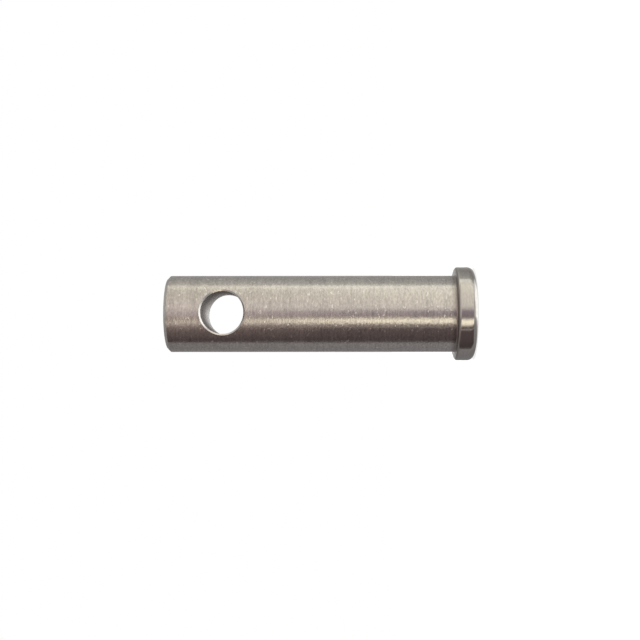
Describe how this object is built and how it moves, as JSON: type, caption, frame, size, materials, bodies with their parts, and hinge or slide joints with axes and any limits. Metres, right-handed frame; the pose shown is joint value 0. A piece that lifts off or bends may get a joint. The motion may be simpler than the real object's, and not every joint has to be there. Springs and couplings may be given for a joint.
{
  "type": "clevis pin",
  "caption": "Plain round pin with a low flat head and a cross hole near the tip for a split ring or cotter.",
  "frame": {"origin": "centre of the head's outer face, on which the pin stands", "axes": "+Z along the pin from the head to the tip, +Y along the cross hole"},
  "size_m": [0.0122, 0.0122, 0.04],
  "materials": {
    "stainless": "fine turned, satin shank and brighter head rim"
  },
  "bodies": {
    "root": {"clevis_pin": "stainless"}
  },
  "joints": []
}
